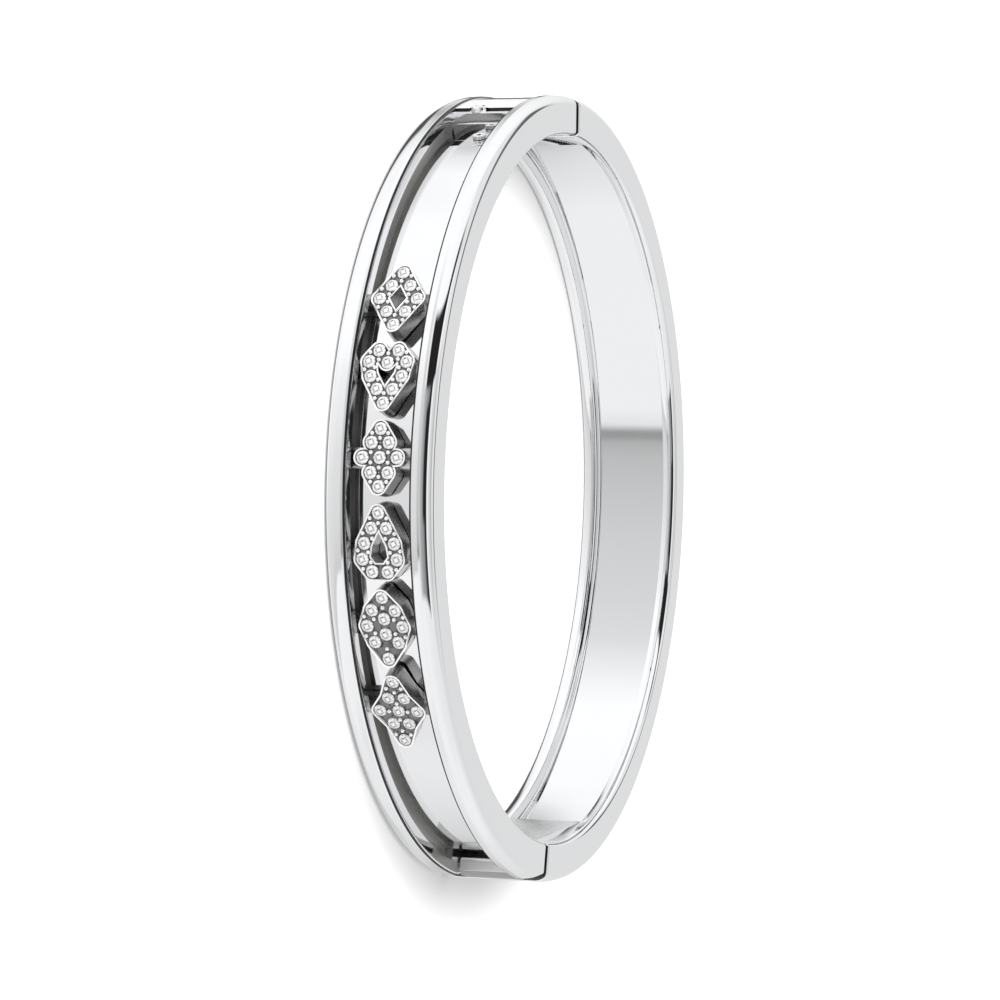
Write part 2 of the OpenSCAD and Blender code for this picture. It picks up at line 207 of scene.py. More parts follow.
def hinge_section(v):
    """The slotted band at the hinge's end, its outer corners cut by an arc about the pin."""
    cover = R_OUT - PIN_R
    past_arc = v > math.sqrt(CORNER ** 2 - cover ** 2)
    top = PIN_R + math.sqrt(CORNER ** 2 - v ** 2) if past_arc else R_OUT
    scale = (top - PIN_R) / cover
    return [(PIN_R + (r - PIN_R) * scale if r > PIN_R else r, z) for r, z in block_section(R_FLOOR)]


def stair(start, end, top, low, nose, arc=6):
    """A step's profile as (reach, radius): flat, a rounded nose, then straight down to the next."""
    rows = []
    for k in range(arc + 1):
        f = math.radians(90 * k / arc)
        rows.append((end - nose + nose * math.sin(f), top - nose * (1 - math.cos(f))))
    return [(start, top)] + rows + [(end, low)]


# the clasp's end: the flat end face, then the bar, the ledge and the step down to the floor
bm = bmesh.new()
DEG_PER_MM = 180 / (math.pi * R_FLOOR)
CHANNEL_DEG = BLOCK_DEG + BLOCK_END * DEG_PER_MM
profile = stair(NOSE_START, 0.0, BAR, LEDGE, BAR_NOSE)
profile += stair(0.0, LEDGE_END, LEDGE, STEP, LEDGE_NOSE)[1:]
profile += stair(STEP_START, STEP_END, STEP, R_FLOOR, STEP_NOSE) + [(BLOCK_END, R_FLOOR)]
clasp_rows = end_rows(lambda v: block_section(BAR), CLASP_FACE, -1, BAR_DEG)[::-1]
clasp_rows += [[ring_point(deg, r, z) for r, z in block_section(BAR)]
               for deg in degrees(BAR_DEG, BAR_ROWS_END)[1:]]
clasp_rows += [[ring_point(BLOCK_DEG + s * DEG_PER_MM, r, z) for r, z in block_section(h)]
               for s, h in profile]
loft(bm, clasp_rows)


def tongue_ring(depth):
    """The four corners of the tongue's slot at a depth below the clasp's end face."""
    points = []
    for dr, z in ((-1, -1), (-1, 1), (1, 1), (1, -1)):
        r = TONGUE_R + dr * TONGUE_T / 2
        points.append(ring_point(end_deg(CLASP_FACE - depth, r, -1), r, z * TONGUE_W / 2))
    return points


# the end face is pierced by the slot that the clasp's tongue enters
mouth = [bm.verts.new(p) for p in tongue_ring(0)]
deep = [bm.verts.new(p) for p in tongue_ring(TONGUE_L)]
for k in range(4):
    bm.faces.new((mouth[k], mouth[(k + 1) % 4], deep[(k + 1) % 4], deep[k]))
bm.faces.new(deep)
weld(bm)
NEAR_END_Y = -6 * MM
open_edges = [e for e in bm.edges if len(e.link_faces) == 1 and e.verts[0].co.y > NEAR_END_Y]
bmesh.ops.triangle_fill(bm, edges=open_edges, use_beauty=True)

# the channel and, past the grooves' end, the slot that the hinge lug lies in
loft(bm, [[ring_point(deg, r, z) for r, z in channel_section()]
          for deg in degrees(CHANNEL_DEG, GROOVE_END)])
rows = loft(bm, [[ring_point(GROOVE_END, r, z) for r, z in hinge_section(0)]]
            + end_rows(hinge_section, HINGE_FACE, 1, GROOVE_END + 1.5))
bm.faces.new(rows[-1])

# the grooves' blind ends
TINY = 1e-4
lip_foot = [(r, z) for r, z in channel_section()
            if abs(r - R_LIP - LIP_FOOT / 2) < LIP_FOOT / 2 + TINY and SLOT - TINY < z < GROOVE - TINY]
for sign in (-1, 1):
    groove = [(r, z * sign) for r, z in lip_foot + [(R_LIP, GROOVE), (R_FLOOR, GROOVE), (R_FLOOR, SLOT)]]
    for deg in (CHANNEL_DEG, GROOVE_END):
        face_of(bm, [ring_point(deg, r, z) for r, z in groove])
front = finished("front_channel_body", bm)


def socket_group(name, inputs, outputs):
    """A shader node group with named inputs and outputs: its tree, and its two end nodes."""
    tree = bpy.data.node_groups.new(name, "ShaderNodeTree")
    for label, kind, value in inputs:
        s = tree.interface.new_socket(name=label, in_out="INPUT", socket_type=kind)
        s.default_value = value
    for label, kind in outputs:
        tree.interface.new_socket(name=label, in_out="OUTPUT", socket_type=kind)
    return tree, tree.nodes.new("NodeGroupInput"), tree.nodes.new("NodeGroupOutput")


def polish_group():
    """Fine polishing marks: a slight tone, a roughness that varies and hairline scratches."""
    takes = [("Base", "NodeSocketColor", (*METAL, 1)), ("Smooth", "NodeSocketFloat", 0.04),
             ("Wear", "NodeSocketFloat", 0.03), ("Size", "NodeSocketFloat", 900.0)]
    gives = [("Color", "NodeSocketColor"), ("Roughness", "NodeSocketFloat"), ("Height", "NodeSocketFloat")]
    t, gi, go = socket_group("polish_marks", takes, gives)
    n, ln = t.nodes, t.links
    tc = n.new("ShaderNodeTexCoord")
    haze = n.new("ShaderNodeTexNoise")
    haze.inputs["Detail"].default_value = 3
    ln.new(tc.outputs["Object"], haze.inputs["Vector"])
    ln.new(gi.outputs["Size"], haze.inputs["Scale"])
    streak_map = n.new("ShaderNodeMapping")
    streak_map.inputs["Scale"].default_value = (9000, 9000, 700)
    streak_map.inputs["Rotation"].default_value = (0.5, 0.3, 0.2)
    streak = n.new("ShaderNodeTexNoise")
    streak.inputs["Scale"].default_value = 1
    streak.inputs["Detail"].default_value = 2
    ln.new(tc.outputs["Object"], streak_map.inputs["Vector"])
    ln.new(streak_map.outputs["Vector"], streak.inputs["Vector"])
    fine = n.new("ShaderNodeMapRange")
    fine.inputs["From Min"].default_value = 0.62
    fine.inputs["From Max"].default_value = 0.8
    ln.new(streak.outputs["Fac"], fine.inputs["Value"])
    rough = gi.outputs["Smooth"]
    for mark in (haze.outputs["Fac"], fine.outputs["Result"]):
        add = n.new("ShaderNodeMath")
        add.operation = "MULTIPLY_ADD"
        ln.new(mark, add.inputs[0])
        ln.new(gi.outputs["Wear"], add.inputs[1])
        ln.new(rough, add.inputs[2])
        rough = add.outputs["Value"]
    tone = n.new("ShaderNodeMix")
    tone.data_type = "RGBA"
    tone.blend_type = "MULTIPLY"
    dull = n.new("ShaderNodeMath")
    dull.operation = "MULTIPLY"
    dull.inputs[1].default_value = 0.06
    ln.new(haze.outputs["Fac"], dull.inputs[0])
    ln.new(dull.outputs["Value"], tone.inputs["Factor"])
    ln.new(gi.outputs["Base"], tone.inputs["A"])
    tone.inputs["B"].default_value = (0.8, 0.8, 0.82, 1)
    ln.new(tone.outputs["Result"], go.inputs["Color"])
    ln.new(rough, go.inputs["Roughness"])
    ln.new(streak.outputs["Fac"], go.inputs["Height"])
    return t


POLISH = polish_group()


def polished(name, base, smooth, wear, bump=0.02, metallic=1.0):
    """White metal with faint polishing marks, from a mirror polish to a satin or a dull skin."""
    m = bpy.data.materials.new(name)
    m.use_nodes = True
    n, ln = m.node_tree.nodes, m.node_tree.links
    shader = n["Principled BSDF"]
    shader.inputs["Metallic"].default_value = metallic
    g = n.new("ShaderNodeGroup")
    g.node_tree = POLISH
    g.inputs["Base"].default_value = (*base, 1)
    g.inputs["Smooth"].default_value = smooth
    g.inputs["Wear"].default_value = wear
    ln.new(g.outputs["Color"], shader.inputs["Base Color"])
    ln.new(g.outputs["Roughness"], shader.inputs["Roughness"])
    b = n.new("ShaderNodeBump")
    b.inputs["Strength"].default_value = bump
    b.inputs["Distance"].default_value = 0.00001
    ln.new(g.outputs["Height"], b.inputs["Height"])
    ln.new(b.outputs["Normal"], shader.inputs["Normal"])
    return m


def spot(poly):
    """Where a face lies: its angle, its radius and its distance from the band's middle."""
    x, y, z = poly.center
    return math.degrees(math.atan2(x, -y)), math.hypot(x, y) / MM, abs(z / MM - HALF_W)


def across_band(poly):
    """How squarely a face looks along the band: 1 for an end face."""
    x, y = poly.center.x, poly.center.y
    return abs(poly.normal.y * x - poly.normal.x * y) / math.hypot(x, y)


def on_end_face(poly):
    """True for the flat faces at both ends of the front half and their rounded edges."""
    deg, _, _ = spot(poly)
    return across_band(poly) > 0.3 and abs(deg) > END_FACE_DEG


def on_lip_edge(poly):
    """True for the rounded edge between the top of a rail and the wall of the slot."""
    _, r, z = spot(poly)
    at_corner = r > R_OUT - 0.7 * LIP_EDGE and SLOT - CLOSE < z < SLOT + LIP_EDGE
    return at_corner and 0.25 < abs(poly.normal.z) < 0.85


def on_bar_front(poly):
    """True for the upright front of the bar, above the ledge."""
    _, r, _ = spot(poly)
    return across_band(poly) > UPRIGHT and r > LEDGE - 0.02


def in_groove(poly):
    """True for the undercut groove's own faces: its wall, the lip's underside and the floor beside it."""
    _, r, z = spot(poly)
    return R_FLOOR - CLOSE < r < R_LIP + CLOSE and SLOT + 0.02 < z < GROOVE + CLOSE


def on_slot_end(poly):
    """True for the slot's side walls over the last degrees before the hinge."""
    deg, r, z = spot(poly)
    return deg > SLOT_END_DEG and R_LIP < r < R_OUT - LIP_EDGE and abs(z - SLOT) < CLOSE


def on_bar_top(poly):
    """True for the top of the bar that closes the channel at the clasp."""
    deg, r, z = spot(poly)
    return BAR_TOP_DEG < deg < 0 and abs(r - BAR) < 0.012 and z < SLOT


# the undercut and the slot's walls by the hinge keep the cutter's rougher grey skin, darkened as painted
# shade; the bar is satin; the end faces are an unpolished dark grey, darker still as painted shade for the
# seams; and the lips' edges and the bar's front are painted near black, a painted shade for the fine dark
# lines along them
CLOSE, UPRIGHT = 0.01, 0.97
END_FACE_DEG, SLOT_END_DEG, BAR_TOP_DEG = 82, 72, -75
# a near black paint: painted shade for the dark lines along the lips' edges, the bar's front and the notches
# of the small turned pieces
edge_shade = polished("edge_shade", (0.05, 0.05, 0.05), 0.35, 0.1, bump=0.2)
satin = polished("satin_polish", (0.95, 0.95, 0.95), 0.25, 0.1, metallic=0.5)
# the end faces: an unpolished dark grey, darker than the metal as painted shade so the seams between the
# halves read dark
end_skin_and_seam_shade = polished("end_skin_and_seam_shade", (0.2, 0.2, 0.2), 0.35, 0.1, bump=0.2)
# the groove's skin: the cutter's rougher grey, made darker as painted shade for the shadow inside the undercut
# grooves and on the slot's walls by the hinge
front_looks = [(polished("front_polish", METAL, 0.03, 0.04), ()),
               (end_skin_and_seam_shade, (on_end_face,)),
               (edge_shade, (on_lip_edge, on_bar_front)),
               (polished("groove_skin_and_shade", (0.57, 0.565, 0.555), 0.3, 0.1, bump=0.2, metallic=0.85),
                (in_groove, on_slot_end)),
               (satin, (on_bar_top,))]
for look, _ in front_looks:
    front.data.materials.append(look)
for poly in front.data.polygons:
    hits = (k for k, (_, tests) in enumerate(front_looks) if any(test(poly) for test in tests))
    poly.material_index = next(hits, 0)
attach(front, "front")
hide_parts("front_channel")


# back half
# The back half: one plain band in the same metal, hollowed between two rims on the wrist side, with a
# solid block at each end. The hinge lug grows out of it and reaches between the front half's rails.

# half the recess's width, its radius, and where the solid block at each end stops, counted round the
# band from the middle of the channel
RIM = 3.25
R_RECESS = 30.7
HINGE_BLOCK, CLASP_BLOCK = 110.0, 360.0 - 94.0
BACK_HINGE_FACE, BACK_CLASP_FACE = 1.55, 1.1
BACK_EDGE, BACK_EDGE_STEPS = 0.14, 4
# the block at the hinge is flat on its wrist side: a chord between these angles
FLAT_DEG = PIN_DEG + 2
BLOCK_MID = (HINGE_BLOCK + FLAT_DEG) / 2
CHORD = R_IN * math.cos(math.radians((HINGE_BLOCK - FLAT_DEG) / 2))


def back_section(r_in):
    """The band's section with its wrist side at the radius r_in between the rims. Where that is a
    recess, the rims get a small nose and a wide round foot."""
    pts = rounded([(R_IN, HALF_W, IN_EDGE), (R_OUT, HALF_W, OUT_EDGE), (R_OUT, -HALF_W, OUT_EDGE[::-1]),
                   (R_IN, -HALF_W, IN_EDGE[::-1])])
    deep = r_in > R_IN + 0.3
    foot = 0.28 if deep else 0.08
    nose = 0.1 if deep else 0.0
    wall = [(R_IN, RIM + 0.1), (R_IN + 0.3 * nose, RIM + 0.3 * nose), (R_IN + nose, RIM)]
    start = r_in - foot if deep else min(r_in + foot, R_IN)
    arc = 5
    for k in range(arc + 1):
        t = math.radians(90 * k / arc)
        wall.append((start + (r_in - start) * math.sin(t), RIM - foot * (1 - math.cos(t))))
    return pts + [(r, -z) for r, z in wall] + list(reversed(wall))


def chord_at(deg):
    """The wrist side's radius where the block at the hinge is flat."""
    return min(R_IN, CHORD / math.cos(math.radians(deg - BLOCK_MID)))


def block_at(v):
    """The section at a distance v past the plane of the pin."""
    return back_section(chord_at(PIN_DEG + math.degrees(math.asin(v / R_IN))))


def face_edge(v_face, section_at, angle_at):
    """Rows round the rounded edge of an end face, from where the rounding starts to the face."""
    rows = []
    for k in range(BACK_EDGE_STEPS + 1):
        f = math.radians(90 * k / BACK_EDGE_STEPS)
        v = v_face + BACK_EDGE - BACK_EDGE * math.sin(f)
        rows.append([ring_point(angle_at(v, r), r, z)
                     for r, z in shrink(section_at(v), BACK_EDGE * (1 - math.cos(f)))])
    return rows


bm = bmesh.new()
RISE = 0.1
RUN_DEG = PIN_DEG + 4.0
hinge_v, clasp_v = BACK_HINGE_FACE + BACK_EDGE, BACK_CLASP_FACE + BACK_EDGE
first_deg = PIN_DEG + math.degrees(math.asin(hinge_v / R_IN))

# from the end face at the hinge to the recess
rows = face_edge(BACK_HINGE_FACE, block_at, lambda v, r: end_deg(v, r, 1))[::-1]
for k in range(1, RUN_ROWS + 1):
    t = k / RUN_ROWS
    rows.append([ring_point(end_deg(hinge_v, r, 1) * (1 - t) + RUN_DEG * t, r, z)
                 for r, z in back_section(chord_at(first_deg * (1 - t) + RUN_DEG * t))])
rows += [[ring_point(d, r, z) for r, z in back_section(chord_at(d))]
         for d in degrees(RUN_DEG, HINGE_BLOCK - 0.1)[1:]]

# the recess, from its step at one block to its step at the other
rows += [[ring_point(HINGE_BLOCK, r, z) for r, z in back_section(R_IN + rise)]
         for rise in (RISE, R_RECESS - R_IN)]
rows += [[ring_point(d, r, z) for r, z in back_section(R_RECESS)]
         for d in degrees(HINGE_BLOCK, CLASP_BLOCK)[1:]]
rows += [[ring_point(CLASP_BLOCK, r, z) for r, z in back_section(R_IN + RISE)],
         [ring_point(CLASP_BLOCK + 0.1, r, z) for r, z in back_section(R_IN)]]

# from the recess to the end face at the clasp
for k in range(1, RUN_ROWS + 1):
    t = k / RUN_ROWS
    rows.append([ring_point((CLASP_BLOCK + 0.1) * (1 - t) + (360 - end_deg(clasp_v, r, 1)) * t, r, z)
                 for r, z in back_section(R_IN)])
rows += face_edge(BACK_CLASP_FACE, lambda v: back_section(R_IN), lambda v, r: 360 - end_deg(v, r, 1))[1:]
made = loft(bm, rows)
bm.faces.new(made[0])
bm.faces.new(made[-1])
back = finished("back_half_body", bm)


def outward(deg):
    """The direction away from the wrist at an angle."""
    return Vector((math.sin(math.radians(deg)), -math.cos(math.radians(deg)), 0))


# the lug, drawn in the plane of the band as (past the pin's plane, inwards from the pin's axis)
LUG_W, LUG_EDGE = 4.96, 0.12
LUG_OUTLINE = [(2.4, -0.70), (1.2, -0.735), (-0.3, -0.74), (-0.75, -0.41), (-0.75, 0.5), (-0.6, 0.75),
               (0.9, 0.75), (2.4, 0.88)]
bm = bmesh.new()
pin_turn = Matrix.Rotation(math.radians(PIN_DEG), 3, "Z")
low = [bm.verts.new((pin_turn @ Vector((v, y - PIN_R, HALF_W - LUG_W / 2))) * MM) for v, y in LUG_OUTLINE]
raised = bmesh.ops.extrude_face_region(bm, geom=[bm.faces.new(low)])["geom"]
corners = [g for g in raised if isinstance(g, bmesh.types.BMVert)]
bmesh.ops.translate(bm, vec=(0, 0, LUG_W * MM), verts=corners)
bmesh.ops.recalc_face_normals(bm, faces=bm.faces)
bmesh.ops.bevel(bm, geom=list(bm.edges), offset=LUG_EDGE * MM, segments=3, profile=0.6,
                affect="EDGES", clamp_overlap=True)
lug = finished("hinge_lug", bm)

# the lug is satin, and shaded on the side that looks away from the wrist
lug.data.materials.append(satin)
lug.data.materials.append(polished("lug_shade", (0.35, 0.35, 0.35), 0.3, 0.1, metallic=0.8))
for poly in lug.data.polygons:
    poly.material_index = 1 if poly.normal.dot(outward(PIN_DEG)) > 0.4 else 0

# the back half is mirror polished, with a dark grey on its end faces that is partly painted shade for the
# seams, and satin on the flat of the hinge's block
BACK_FACE_DEG = 92
back.data.materials.append(polished("back_polish", METAL, 0.03, 0.04))
back.data.materials.append(end_skin_and_seam_shade)
back.data.materials.append(polished("block_satin", (0.66, 0.66, 0.66), 0.2, 0.1, metallic=0.7))
for poly in back.data.polygons:
    deg, _, _ = spot(poly)
    on_flat = -poly.normal.dot(outward(BLOCK_MID)) > 0.999 and PIN_DEG < deg < HINGE_BLOCK
    if across_band(poly) > UPRIGHT and abs(deg) < BACK_FACE_DEG:
        poly.material_index = 1
    elif on_flat:
        poly.material_index = 2
for ob in (back, lug):
    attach(ob, "back")
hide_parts("back_half")


# hinge pin and clasp tongue
# The pin is a plain turned rod, hidden in the rails and the lug. The tongue is a flat curved plate fixed
# in the back half, which enters the front half's block when the bangle closes.

fittings = polished("fittings_polish", (0.8, 0.805, 0.815), 0.06, 0.06)
for name in ("hinge_pin", "clasp_tongue"):
    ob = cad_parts[name]
    ob.data.materials.clear()
    ob.data.materials.append(fittings)


# stop screw and floor stud
# Two small turned pieces at the clasp's end of the channel: a round head with four notches that keeps the
# charms in, and a low stud with a dimple on the floor. Both are polished on their round sides and tops; their
# other faces, the notches and the dimple among them, are painted near black as painted shade.

# the screw ends flush with the rails, and the stud rises a little above the channel's floor
SCREW_TOP = R_OUT
STUD_DEG, STUD_TOP = -62.0, R_FLOOR + 0.31
OUTER = 0.85
stud_metal = polished("stud_polish", (0.97, 0.97, 0.97), 0.15, 0.05, metallic=0.55)
for name, deg, top_r in (("stop_screw", BLOCK_DEG, SCREW_TOP), ("floor_stud", STUD_DEG, STUD_TOP)):
    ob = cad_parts[name]
    ob.data.materials.clear()
    ob.data.materials.append(stud_metal)
    ob.data.materials.append(edge_shade)
    out = outward(deg)
    across = [v.co.z for v in ob.data.vertices]
    centre = Vector((0, 0, (min(across) + max(across)) / 2))
    reach = (max(across) - min(across)) / 2
    # faces off the round side and the top take the near black paint: painted shade in the notches and the
    # dimple
    for poly in ob.data.polygons:
        arm = poly.center - centre
        arm -= out * arm.dot(out)
        outer = arm.length > OUTER * reach and abs(poly.normal.dot(arm.normalized())) > OUTER
        top = poly.center.dot(out) / MM > top_r - CLOSE
        poly.material_index = 0 if outer or top else 1


# charms
# Six slide charms, each cast in the same metal with a raised bright rim round a sunk field. Round
# brilliants of about 1 mm sit in drilled seats, held by small bead prongs raised from the field.

CHARMS = ("lozenge", "heart", "rosette", "drop", "leaf", "star")
CHARM_ENDS = (-27.7, -16.1, -4.9, 6.5, 18.1, 30.6, 43.8)
CHARM_BASE = R_FLOOR + 0.1
FIELD_H = 1.39
STONE_R, STONE_LIFT = 0.52, 0.03
CROWN_H, GIRDLE_H, PAVILION_H = 0.17, 0.04, 0.42

# the side walls are a darker copy of the charms' metal: painted shade on the walls
charm_side = polished("charm_side", (0.62, 0.615, 0.605), 0.22, 0.1)
charm_field = polished("charm_field", (0.2, 0.2, 0.2), 0.3, 0.1, metallic=0.6)
charm_bright = polished("charm_bright", (0.98, 0.98, 0.98), 0.15, 0.05, metallic=0.6)
SIDE_SHADE, FIELD, BRIGHT, WHITE, LIGHT, GREY, DARK = range(7)
# the tones painted on the facets round a stone: painted reflections of the pavilion in its table, its star and
# its kites
TABLE_TONES = (GREY, LIGHT, GREY, LIGHT, DARK, LIGHT, GREY, LIGHT)
STAR_TONES = (WHITE, LIGHT)
UPPER_TONES = (LIGHT, WHITE, GREY, WHITE)


def cut_stone(name, tone):
    """Clear cut stone, its facets given a painted tone: painted reflections that make the bright and grey
    facets of a white brilliant.
    """
    m = bpy.data.materials.new(name)
    m.use_nodes = True
    n, ln = m.node_tree.nodes, m.node_tree.links
    shader = n["Principled BSDF"]
    shader.inputs["Roughness"].default_value = 0.03
    shader.inputs["IOR"].default_value = 1.9
    tc = n.new("ShaderNodeTexCoord")
    cloud = n.new("ShaderNodeTexNoise")
    cloud.inputs["Scale"].default_value = 2500
    ln.new(tc.outputs["Object"], cloud.inputs["Vector"])
    mix = n.new("ShaderNodeMix")
    mix.data_type = "RGBA"
    mix.inputs["A"].default_value = (tone * 0.9, tone * 0.9, tone * 0.91, 1)
    mix.inputs["B"].default_value = (tone, tone, tone, 1)
    ln.new(cloud.outputs["Fac"], mix.inputs["Factor"])
    ln.new(mix.outputs["Result"], shader.inputs["Base Color"])
    return m


# the facet tones, from white to dark: painted reflections on the stones
painted_stone_reflections = [cut_stone("stone_white", 0.82), cut_stone("stone_light", 0.48), cut_stone("stone_grey", 0.27),
               cut_stone("stone_dark", 0.1)]


def brilliant(bm, place):
    """A round brilliant: a table, star, kite and girdle facets, and a pointed pavilion."""
    def ring(count, share, h, turn=0.0):
        return [bm.verts.new(place @ Vector((STONE_R * share * math.cos(2 * math.pi * (k + turn) / count),
                                             STONE_R * share * math.sin(2 * math.pi * (k + turn) / count), h)))
                for k in range(count)]

    top_h = GIRDLE_H + CROWN_H
    disc = ring(8, 0.34, top_h)
    table = ring(8, 0.58, top_h)
    waist = ring(8, 0.8, GIRDLE_H + 0.55 * CROWN_H, 0.5)
    upper = ring(16, 1.0, GIRDLE_H)
    lower = ring(16, 1.0, 0.0)
    culet = bm.verts.new(place @ Vector((0, 0, -PAVILION_H)))
    faces = [(disc, WHITE)]
    for k in range(8):
        j = (k + 1) % 8
        faces.append(((disc[k], table[k], table[j], disc[j]), TABLE_TONES[k]))
        faces.append(((table[k], waist[k], table[j]), STAR_TONES[k % 2]))
        faces.append(((table[k], waist[k - 1], upper[2 * k], waist[k]), WHITE))
        faces.append(((waist[k], upper[2 * k], upper[2 * k + 1]), UPPER_TONES[k % 4]))
        faces.append(((waist[k], upper[2 * k + 1], upper[(2 * k + 2) % 16]), STAR_TONES[k % 2]))
    for k in range(16):
        j = (k + 1) % 16
        faces.append(((upper[k], lower[k], lower[j], upper[j]), LIGHT))
        faces.append(((lower[k], culet, lower[j]), DARK))
    for verts, tone in faces:
        bm.faces.new(verts).material_index = tone


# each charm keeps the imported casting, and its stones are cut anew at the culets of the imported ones
NEAR_H = 0.02
for i, name in enumerate(CHARMS):
    mid = (CHARM_ENDS[i] + CHARM_ENDS[i + 1]) / 2
    out, along = outward(mid), outward(mid + 90)
    bm = bmesh.new()
    bm.from_mesh(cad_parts["charm_" + name].data)
    bmesh.ops.remove_doubles(bm, verts=bm.verts, dist=SLIVER)
    bmesh.ops.recalc_face_normals(bm, faces=bm.faces)
    for f in bm.faces:
        h = f.calc_center_median().dot(out) / MM - CHARM_BASE
        up = f.normal.dot(out)
        # the side walls and the faces below the field take the darker metal, painted shade
        if h < FIELD_H - NEAR_H or (abs(up) < 0.02 and h < FIELD_H + NEAR_H):
            f.material_index = SIDE_SHADE
        elif up > 0.98 and h < FIELD_H + NEAR_H:
            f.material_index = FIELD
        else:
            f.material_index = BRIGHT
    culets = {}
    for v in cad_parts["stones_" + name].data.vertices:
        h = v.co.dot(out) / MM - CHARM_BASE
        if h < FIELD_H + STONE_LIFT - PAVILION_H + 0.001:
            culets[(round(v.co.dot(along) * 1e6), round(v.co.z * 1e6))] = v.co
    for point in culets.values():
        foot = Vector(point) + out * PAVILION_H * MM
        place = Matrix((along * MM, Vector((0, 0, MM)), out * MM)).transposed().to_4x4()
        place.translation = foot
        brilliant(bm, place)
    charm = finished("charm_%s_set" % name, bm, sharp=24)
    for m in [charm_side, charm_field, charm_bright] + painted_stone_reflections:
        charm.data.materials.append(m)
    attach(charm, "charms")
    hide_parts("charm_" + name, "stones_" + name)


# floor
# A plain pale floor with a matt paint, under the side face that the bangle lies on. It isn't part of
# the object, and the polished metal doesn't mirror it.

me = bpy.data.meshes.new("floor")
me.from_pydata([(-4, -4, 0), (4, -4, 0), (4, 4, 0), (-4, 4, 0)], [], [(0, 1, 2, 3)])
floor = bpy.data.objects.new("floor", me)
bpy.context.scene.collection.objects.link(floor)
m = bpy.data.materials.new("floor_paint")
m.use_nodes = True
n, ln = m.node_tree.nodes, m.node_tree.links
shader = n["Principled BSDF"]
noise = n.new("ShaderNodeTexNoise")
noise.inputs["Scale"].default_value = 12
ramp = n.new("ShaderNodeValToRGB")
ramp.color_ramp.elements[0].color = (0.93, 0.93, 0.93, 1)
ramp.color_ramp.elements[1].color = (0.95, 0.95, 0.95, 1)
ln.new(noise.outputs["Fac"], ramp.inputs["Fac"])
ln.new(ramp.outputs["Color"], shader.inputs["Base Color"])
shader.inputs["Roughness"].default_value = 0.9
shader.inputs["Specular IOR Level"].default_value = 0.1
me.materials.append(m)
floor.visible_glossy = False


# light
# Plain soft studio light: an even pale tent round the object. On the camera's side a large card is a
# little greyer, and narrow black flags above it draw the fine dark lines along the rounded edges.

world = bpy.data.worlds.new("studio")
bpy.context.scene.world = world
world.use_nodes = True
n, ln = world.node_tree.nodes, world.node_tree.links
bg = n["Background"]
tc = n.new("ShaderNodeTexCoord")
sep = n.new("ShaderNodeSeparateXYZ")
ln.new(tc.outputs["Generated"], sep.inputs["Vector"])
X, Y, Z = (sep.outputs[a] for a in "XYZ")
WHITE_LEVEL = 1.18


def tones(source, *stops):
    """A grey that follows named stops (position, brightness) along a source from -1 to 1."""
    r = n.new("ShaderNodeMapRange")
    r.inputs["From Min"].default_value = -1
    ln.new(source, r.inputs["Value"])
    c = n.new("ShaderNodeValToRGB")
    e = c.color_ramp.elements
    while len(e) > 1:
        e.remove(e[-1])
    for k, (pos, val) in enumerate(stops):
        x = (pos + 1) / 2
        el = e[0] if k == 0 else e.new(x)
        el.position = x
        el.color = (val / WHITE_LEVEL, val / WHITE_LEVEL, val / WHITE_LEVEL, 1)
    ln.new(r.outputs["Result"], c.inputs["Fac"])
    return c.outputs["Color"]


def edge(source, low, high):
    """A mask that rises from 0 at low to 1 at high."""
    r = n.new("ShaderNodeMapRange")
    r.interpolation_type = "SMOOTHSTEP"
    r.inputs["From Min"].default_value = low
    r.inputs["From Max"].default_value = high
    ln.new(source, r.inputs["Value"])
    return r.outputs["Result"]


def over(mask, under, upper):
    """One tone where the mask is 0 and another where it is 1."""
    m = n.new("ShaderNodeMix")
    m.data_type = "RGBA"
    ln.new(mask, m.inputs["Factor"])
    ln.new(under, m.inputs["A"])
    ln.new(upper, m.inputs["B"])
    return m.outputs["Result"]


def shifted(source, by, amount):
    """The source, moved by an amount times another value."""
    m = n.new("ShaderNodeMath")
    m.operation = "MULTIPLY_ADD"
    m.inputs[1].default_value = amount
    ln.new(by, m.inputs[0])
    ln.new(source, m.inputs[2])
    return m.outputs["Value"]


# the camera's side, low: as the rails' tops see it, and higher up, as the recess sees it
slanted = shifted(X, edge(Z, -0.4, -0.9), -0.12)
card_low = tones(slanted, (-0.55, 1.16), (-0.41, 1.02), (-0.25, 0.96), (-0.08, 0.87), (0.26, 0.8),
                 (0.44, 0.7), (0.47, 1.05), (0.85, 1.01), (0.95, 0.88))
card_high = tones(X, (-0.9, 1.16), (-0.8, 1.0), (-0.68, 0.83), (-0.5, 0.77), (-0.2, 0.72), (0.09, 0.64),
                  (0.25, 0.58), (0.33, 0.5), (0.36, 0.36), (0.385, 0.36), (0.42, 0.9), (0.5, 1.0), (1, 1.0))
card = over(edge(Z, -0.334, -0.32), card_low, card_high)
